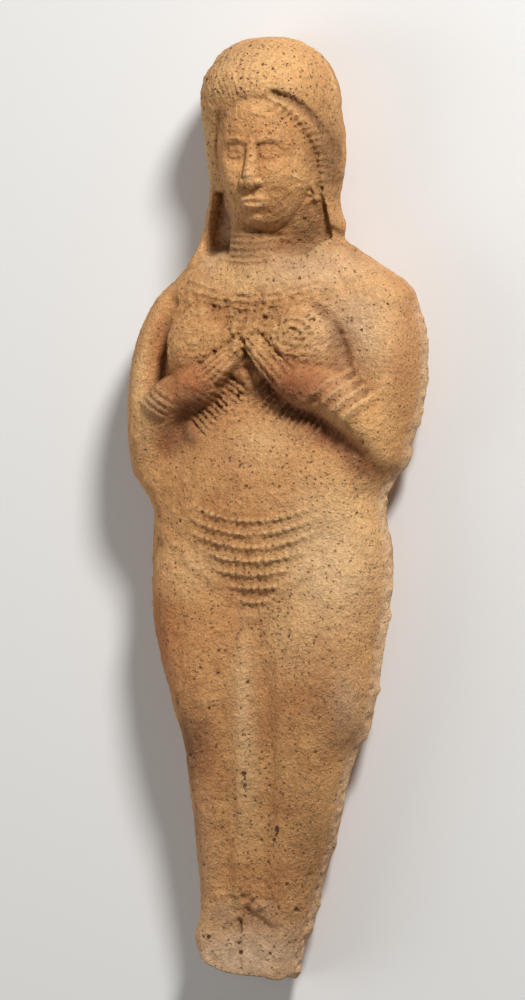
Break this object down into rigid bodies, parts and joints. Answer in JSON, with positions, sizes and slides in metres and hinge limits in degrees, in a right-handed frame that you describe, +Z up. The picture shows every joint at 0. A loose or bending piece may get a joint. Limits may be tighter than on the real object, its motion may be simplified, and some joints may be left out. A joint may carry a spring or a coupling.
{
  "type": "terracotta figurine",
  "caption": "Moulded terracotta nude female figurine lying on its back, hands held under the breasts, tall hair, beaded girdle, feet broken away.",
  "frame": {"origin": "middle of the bounding box at its lowest level, on the flat strip of the back that the figurine lies on", "axes": "+Y along the body towards the crown of the head, +X towards the figure's own left side, +Z up out of the face and chest"},
  "size_m": [0.0572, 0.17, 0.0292],
  "materials": {
    "terracotta": "dry, low-fired buff to orange clay, pitted and worn, matt"
  },
  "bodies": {
    "root": {"figurine": "terracotta"}
  },
  "joints": []
}
